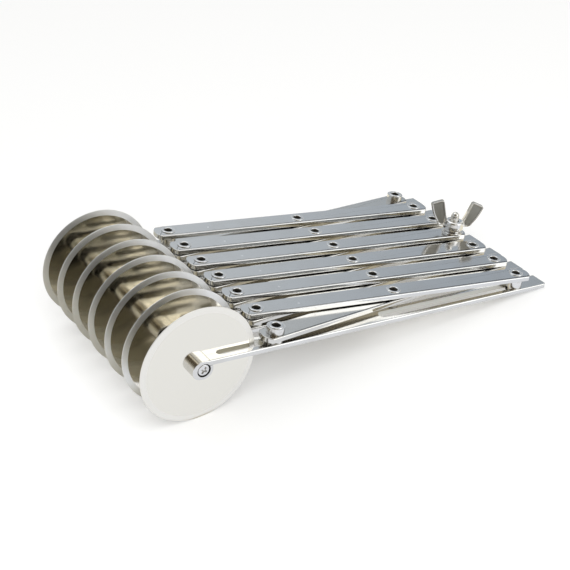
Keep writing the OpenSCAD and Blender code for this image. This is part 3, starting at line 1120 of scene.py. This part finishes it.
@dataclass
class HollowRivets(Assembly):
    """Tubular rivets with rolled heads, some with a shoulder that carries a link."""

    tube_d: float = 5.0
    bore: float = 4.0
    head_d: float = 6.8
    head_h: float = 0.45
    curl: float = 0.405
    shoulder_d: float = 8.2
    shoulder_edge: float = 0.12
    facets: int = 56

    title = "hollow rivets"

    def pattern(self, low: float, high: float, shoulder: Point | None = None) -> Workpiece:
        """Turns one rivet.

        Args:
            low: Height of the lower head's bearing face.
            high: Height of the upper head's bearing face.
            shoulder: Lowest and highest point of the shoulder, or None.

        Returns:
            The rivet.
        """
        inner, tube, head, wide = self.bore / 2, self.tube_d / 2, self.head_d / 2, self.shoulder_d / 2
        cap = [*arc(head - self.curl, 0.0, self.curl, self.head_h, 0, 90, 7),
               *arc(inner + self.curl, 0.0, self.curl, self.head_h, 90, 165, 6)]
        profile = [(r, low - z) for r, z in reversed(cap)] + [(tube, low)]
        if shoulder:
            c, (bottom, top) = self.shoulder_edge, shoulder
            profile += [(tube, bottom), (wide - c, bottom), (wide, bottom + c),
                        (wide, top - c), (wide - c, top), (tube, top)]
        profile += [(tube, high)] + [(r, high + z) for r, z in cap]
        rivet = Workpiece("rivet_pattern")
        rivet.lathe(profile, self.facets)
        rivet.smooth(32.0)
        # Faces inside the bore take the second material, the painted shade.
        for face in rivet.obj.data.polygons:
            face.material_index = int(face.center.xy.length < inner + 0.02)
        return rivet

    def build(self) -> None:
        """Sets every rivet that the clamp stud doesn't stand for."""
        steel = Finish.RIVET.value.material(), Finish.BORE.value.material()
        at = LATTICE
        bot, low, top, gap = at.arm_bot, at.low_b, at.top_t, at.play
        plain = self.pattern(bot, top + gap)
        fixed = self.pattern(bot, top + gap, (at.arm_top, low - gap))
        crossing = self.pattern(low - gap, top)
        slider = self.pattern(bot - gap, top, (at.arm_top + gap, low - gap))
        bare = self.pattern(bot - gap, top)
        end = self.pattern(bot - gap, top, (at.arm_top + gap, low))
        for k in range(1, ROWS + 1):
            rivet = plain if k == 1 else fixed
            piece = rivet.place(f"hollow_front_{k}", at.row(k, at.front_x), *steel)
            self.enter(piece, f"arm_{k}", "bright_steel", f"front_rivet_{k}")
        for k in range(1, ROWS):
            piece = crossing.place(f"hollow_crossing_{k}", at.top_link(k, at.reach / 2), *steel)
            self.enter(piece, f"top_{k}", "bright_steel", f"link_rivets_{k}")
            if k != MIDDLE - 1:
                rivet = bare if k == ROWS - 1 else slider
                piece = rivet.place(f"hollow_rear_{k + 1}", at.top_link(k, at.reach), *steel)
                self.enter(piece, f"top_{k}", "bright_steel", f"link_rivets_{k}")
        piece = end.place("hollow_rear_1", at.lower_link(1, at.reach), *steel)
        self.enter(piece, "lower_1", "bright_steel", "rear_rivet_1")
        for rivet in (plain, fixed, crossing, slider, bare, end):
            rivet.scrap()


@dataclass
class Sleeves(Assembly):
    """The thin washers, spacers and collars, which keep their CAD shape."""

    title = "sleeves"

    def build(self) -> None:
        """Dresses every ring of the sleeve stock."""
        steel = Finish.SLEEVE.value.material()
        washers = (f"link_washers_{k}" for k in range(1, ROWS))
        for node in (*washers, "front_spacer", "rear_spacer", "front_collar", "rear_collar"):
            self.dress(node, steel)


@dataclass
class Clamp(Assembly):
    """The stud at the middle row's rear pivot, its rings and its wing nut."""

    stud_d: float = 4.8
    point_d: float = 4.0
    stud_rise: float = 9.2
    stud_taper: float = 0.6
    head_d: float = 8.6
    head_h: float = 1.2
    head_edge: float = 0.5
    pivot_d: float = 5.0
    ring_bore: float = 5.1
    ring_edge: float = 0.12
    sleeve_d: float = 8.2
    washer_d: float = 11.0
    nut_bore: float = 5.04
    hub_base_d: float = 10.4
    hub_top_d: float = 9.8
    hub_h: float = 4.8
    base_edge: float = 0.5
    top_edge: float = 1.3
    bore_edge: float = 0.3
    bore_over: float = 8.0
    slit_reach: Point = (0.3, 0.9)
    slit_turn: float = -20.0
    wing_t: float = 2.2
    wing_turn: float = -27.0
    wing_edge: float = 0.3
    border: float = 0.55
    panel_slope: float = 0.35
    panel_deep: float = 0.45
    voxel: float = 0.17
    facets: int = 64

    outer_side: Bend = (-10.96, 18.88, 25.5, -37, -15, 8)
    outer_corner: Bend = (12.55, 12.72, 1.35, -10, 64, 6)
    inner_corner: Bend = (8.4, 14.45, 1.15, 66, 160, 6)
    root: tuple[Point, ...] = ((5.0, 7.2), (4.4, 5.8), (3.9, 4.6), (3.3, 3.6), (3.3, 2.6), (4.2, 1.9))
    foot: Bend = (6.7, 4.9, 3.2, 262, 318, 6)

    title = "clamp"

    def stud(self) -> Workpiece:
        """Turns the stud, with the smooth domed point that stands out of the nut."""
        at, ease = LATTICE, self.head_edge
        head, pivot, thread, point = self.head_d / 2, self.pivot_d / 2, self.stud_d / 2, self.point_d / 2
        foot, ring_t = at.arm_bot - at.play, at.nut_b - at.play
        tip, top = at.nut_b + self.stud_rise, at.nut_b + self.hub_h
        body = Workpiece("stud_pattern")
        body.lathe(
            [(0.0, foot - self.head_h), *arc(head - ease, foot - self.head_h + ease, ease, ease, -90, 0, 6),
             (head, foot), (pivot, foot), (pivot, ring_t), (thread, ring_t), (thread, top - self.stud_taper),
             (point, top), *arc(0.0, tip - point, point, point, 0, 90, 12)[:-1], (0.0, tip)],
            self.facets, closed=False,
        )
        body.smooth()
        return body

    def ring(self, low: float, high: float, outer: float) -> Workpiece:
        """Turns a plain ring with broken edges.

        Args:
            low: Height of its lower face.
            high: Height of its upper face.
            outer: Outer diameter.

        Returns:
            The ring.
        """
        c, ro, ri = self.ring_edge, outer / 2, self.ring_bore / 2
        ring = Workpiece("ring_pattern")
        ring.lathe([(ri, low + c), (ri + c, low), (ro - c, low), (ro, low + c),
                    (ro, high - c), (ro - c, high), (ri + c, high), (ri, high - c)], self.facets)
        ring.smooth()
        return ring

    def lock_ring(self) -> Workpiece:
        """Turns the lock ring and slits it on a slant."""
        low, high = LATTICE.ring_b, LATTICE.ring_b + LATTICE.lock_ring_h
        ring = self.ring(low, high, self.sleeve_d)
        slit, (short, long) = Workpiece("slit_cutter"), self.slit_reach
        foot, head = low - OVER, high + OVER
        slit.prism([(-long, foot), (-short, foot), (long, head), (short, head)], -self.sleeve_d, 0.0)
        ring.cut(slit, Matrix.Rotation(math.radians(self.slit_turn), 4, "Z"))
        ring.smooth()
        return ring

    def wing(self) -> Workpiece:
        """Shapes one wing: a curved blade with a raised border round a sunk panel."""
        outline = bend(self.outer_side) + bend(self.outer_corner) + bend(self.inner_corner)
        wing = Workpiece("wing_pattern")
        wing.prism([*outline, *self.root, *bend(self.foot)], -self.wing_t / 2, self.wing_t / 2)
        for side in (-1.0, 1.0):
            wing.pick_faces(lambda face, side=side: face.normal.y * side > 0.9)
            bpy.ops.mesh.inset(thickness=self.border, depth=0.0)
            bpy.ops.mesh.inset(thickness=self.panel_slope, depth=-self.panel_deep)
            bpy.ops.object.mode_set(mode="OBJECT")
        steep = math.radians(50)
        wing.modify("BEVEL", width=self.wing_edge, segments=2, limit_method="ANGLE", angle_limit=steep)
        return wing

    def wing_nut(self) -> Workpiece:
        """Joins the hub and two wings into one casting, with its fillets."""
        base, top, high, bore = self.hub_base_d / 2, self.hub_top_d / 2, self.hub_h, self.nut_bore / 2
        foot, ease, flare = self.base_edge, self.top_edge, self.bore_edge
        nut = Workpiece("nut_pattern")
        nut.lathe(
            [(bore, 0.0), *arc(base - foot, foot, foot, foot, -90, 0, 4), (base, high * 0.4),
             *arc(top - ease, high - ease, ease, ease, 0, 90, 6), (bore + flare, high), (bore, high - flare)],
            self.facets,
        )
        left, right = self.wing(), self.wing()
        right.shift(Matrix.Rotation(math.pi, 4, "Z"))
        nut.weld(left, right)
        nut.modify("REMESH", mode="VOXEL", voxel_size=self.voxel, adaptivity=0.0)
        nut.modify("SMOOTH", factor=0.5, iterations=6)
        nut.cut(peg(bore, -OVER, high + self.bore_over, self.facets))
        nut.smooth(40.0)
        return nut

    def build(self) -> None:
        """Sets the stud, its rings and the wing nut on the middle row's rear pivot."""
        at = LATTICE
        pivot = at.top_link(MIDDLE - 1, at.reach)
        stud_steel, ring_steel = Finish.STUD.value.material(), Finish.SLEEVE.value.material()
        stud_ring = self.ring(at.arm_top + at.play, at.low_b - at.play, self.sleeve_d)
        washer = self.ring(at.top_t, at.top_t + at.washer_t, self.washer_d)
        for pattern, name, steel, node in (
            (self.stud(), "threaded_stud", stud_steel, "clamp_stud"),
            (stud_ring, "stud_ring", ring_steel, "clamp_washers"),
            (self.lock_ring(), "lock_ring", ring_steel, "clamp_washers"),
            (washer, "flat_washer", ring_steel, "clamp_washers"),
        ):
            self.enter(pattern.place(name, pivot, steel), f"top_{MIDDLE - 1}", "bright_steel", node)
            pattern.scrap()
        nut, turn = self.wing_nut(), math.radians(self.wing_turn) + at.theta
        where = at.top_link(MIDDLE - 1, at.reach, at.nut_b) @ Matrix.Rotation(turn, 4, "Z")
        piece = nut.place("winged_nut", where, Finish.WING_NUT.value.material(where))
        self.enter(piece, "wing_nut", "bright_steel", "wing_nut")
        nut.scrap()


# Studio

@dataclass(frozen=True)
class Softbox:
    """One wide soft lamp that faces the cutter, with its power in watts."""

    name: str
    where: Vector
    size: Point
    power: float
    colour: Colour = WHITE
    diffuse: bool = True
    glossy: bool = True

    def hang(self) -> None:
        """Hangs the lamp."""
        data = bpy.data.lights.new(self.name, "AREA")
        data.shape, data.size, data.size_y, data.energy = "RECTANGLE", *self.size, self.power
        data.color = self.colour
        lamp = bpy.data.objects.new(self.name, data)
        lamp.location = self.where
        lamp.rotation_euler = (-self.where).to_track_quat("-Z", "Y").to_euler()
        lamp.visible_diffuse, lamp.visible_glossy = self.diffuse, self.glossy
        bpy.context.scene.collection.objects.link(lamp)


@dataclass(frozen=True)
class Studio:
    """White floor, soft overhead light, and the camera at the photograph's angle."""

    camera_at: Triple = (-0.27348, -0.40708, 0.32443)
    camera_turn: Triple = (57.4522, 0.0416, -32.9970)
    lens: float = 75.3155
    floor_size: float = 8.0
    floor_white: Colour = (0.68, 0.66, 0.58)
    floor_seen: Colour = (0.80, 0.80, 0.79)
    floor_lift: float = 0.265
    # Painted light: more glow to the left of the wheels for the camera, a cool glow in front and a warm glow
    # under the tool for the metal.
    left_painted_light: float = 0.20
    left_reach: Point = (-0.15, -0.085)
    card_edge: float = -0.0498
    card_white: Colour = (0.24, 0.245, 0.25)
    card_painted_light_tint: Colour = (0.90, 0.93, 1.0)
    card_painted_light: float = 0.83
    under_reach: Point = (-0.035, 0.0)
    under_painted_light_tint: Colour = (1.0, 0.90, 0.68)
    under_painted_light: float = 0.40
    sky_level: float = 0.74

    # Walls that only the metal sees: where each tone starts and is full, and the tones
    dusk_rise: Point = (0.15, 0.45)
    dusk: tuple[Colour, Colour] = ((0.55, 0.54, 0.50), (0.13, 0.105, 0.07))
    near_wall: tuple[tuple[float, float, Colour], ...] = (
        (-0.24, -0.18, (1.0, 0.93, 0.78)), (-0.08, -0.03, (0.20, 0.18, 0.14)), (0.08, 0.20, WHITE))
    far_start: Point = (-0.30, 0.20)
    far_turn: Point = (0.50, 0.74)
    far_wall: tuple[Colour, Colour] = ((0.66, 0.705, 0.755), (0.44, 0.49, 0.55))
    horizon: Point = (0.03, 0.22)
    ceiling_rise: Point = (0.60, 0.80)
    ceiling_edge: Point = (-0.25, 0.10)

    lamps: tuple[Softbox, ...] = (
        Softbox("overhead_softbox", Vector((0.05, 0.42, 1.0)), (0.9, 0.7), 2.1, diffuse=False),
        Softbox("side_softbox", Vector((0.78, -0.92, 0.49)), (0.8, 0.6), 2.3, (0.93, 0.965, 1.0),
                diffuse=False),
        Softbox("front_softbox", Vector((-0.22, -0.62, 0.90)), (1.2, 0.9), 5.0, glossy=False),
    )

    def camera(self) -> None:
        """Sets up the camera that was fitted to the photograph's pivots and edges."""
        data = bpy.data.cameras.new("camera")
        data.lens, data.sensor_width, data.clip_start, data.clip_end = self.lens, 36.0, 0.01, 50.0
        camera = bpy.data.objects.new("camera", data)
        camera.location = self.camera_at
        camera.rotation_euler = [math.radians(a) for a in self.camera_turn]
        bpy.context.scene.collection.objects.link(camera)
        bpy.context.scene.camera = camera

    def white(self) -> Material:
        """Makes the floor's white, with painted light: a dimmer floor under a cool glow in front and a warm
        glow underneath, seen only by the metal, and more glow for the camera to the left of the wheels.
        """
        material = bpy.data.materials.new("studio_white")
        material.use_nodes = True
        graph = Graph(material.node_tree)
        graph.tree.nodes.clear()
        seen, mirrored = graph.wires("ShaderNodeLightPath", {}, "Is Camera Ray", "Is Glossy Ray")
        x, y, _ = graph.split(graph.wire("ShaderNodeTexCoord", {}, "Object"))
        # Painted light seen only in the metal: a cool glow over a dimmed floor in front of the nearest row,
        # and a warm glow under the tool.
        card = mirrored * (y < self.card_edge)
        under = mirrored * x.ramp(*self.under_reach) * (y > self.card_edge)
        # Painted light for the camera: extra glow to the left of the wheels lightens their shadow there.
        ahead = x.ramp(*self.left_reach, self.floor_lift + self.left_painted_light, self.floor_lift)
        colour = graph.blend(card, graph.blend(seen, self.floor_white, self.floor_seen), self.card_white)
        tint = graph.blend(under, graph.blend(mirrored, WHITE, self.card_painted_light_tint), self.under_painted_light_tint)
        strength = seen * ahead + card * self.card_painted_light + under * self.under_painted_light
        diffuse = graph.wire("ShaderNodeBsdfDiffuse", {"Color": colour})
        lift = graph.wire("ShaderNodeEmission", {"Color": tint, "Strength": strength})
        both = graph.wire("ShaderNodeAddShader", {0: diffuse, 1: lift})
        graph.wires("ShaderNodeOutputMaterial", {"Surface": both})
        return material

    def floor(self) -> None:
        """Lays the white floor, which keeps the cutter's shadow."""
        bpy.ops.object.select_all(action="DESELECT")
        bpy.ops.mesh.primitive_plane_add(size=self.floor_size, location=(0.0, 0.0, 0.0))
        floor = bpy.context.active_object
        floor.name = "studio_floor"
        floor.data.materials.append(self.white())

    def sky(self) -> None:
        """Surrounds the set: white to the eye, with the studio's grey walls in the metal."""
        world = bpy.data.worlds.new("studio")
        bpy.context.scene.world = world
        world.use_nodes = True
        graph = Graph(world.node_tree)
        graph.tree.nodes.clear()
        x, y, z = graph.split(graph.wire("ShaderNodeTexCoord", {}, "Generated"))
        near = graph.blend(z.ramp(*self.dusk_rise), *self.dusk)
        for low, high, tone in self.near_wall:
            near = graph.blend(x.ramp(low, high), near, tone)
        far = graph.blend(x.ramp(*self.far_turn), *self.far_wall)
        wall = graph.blend(y.ramp(*self.far_start), near, far)
        wall = graph.blend(z.ramp(*self.horizon, 1.0, 0.0), wall, WHITE)
        wall = graph.blend(z.ramp(*self.ceiling_rise) * x.ramp(*self.ceiling_edge), wall, WHITE)
        rays = ("Is Camera Ray", "Is Glossy Ray", "Is Transmission Ray")
        seen, mirrored, through = graph.wires("ShaderNodeLightPath", {}, *rays)
        colour = graph.blend(seen | through, graph.blend(mirrored, (self.sky_level,) * 3, wall), WHITE)
        background = graph.wire("ShaderNodeBackground", {"Color": colour})
        graph.wires("ShaderNodeOutputWorld", {"Surface": background})

    def build(self) -> None:
        """Sets the scene up and keeps colours as they are written."""
        bpy.context.scene.view_settings.view_transform = "Standard"
        self.camera()
        self.floor()
        self.sky()
        for lamp in self.lamps:
            lamp.hang()


def main() -> None:
    """Builds every sub-assembly in order and reports its pieces."""
    logging.basicConfig(level=logging.INFO, format="%(name)s %(message)s")
    Studio().build()
    assemblies = (ForkArms(), TongsLinks(), BladeWheels(), AxleScrews(), HollowRivets(), Sleeves(), Clamp())
    for assembly in assemblies:
        assembly.build()
        assembly.report()


if __name__ == "__main__":
    main()
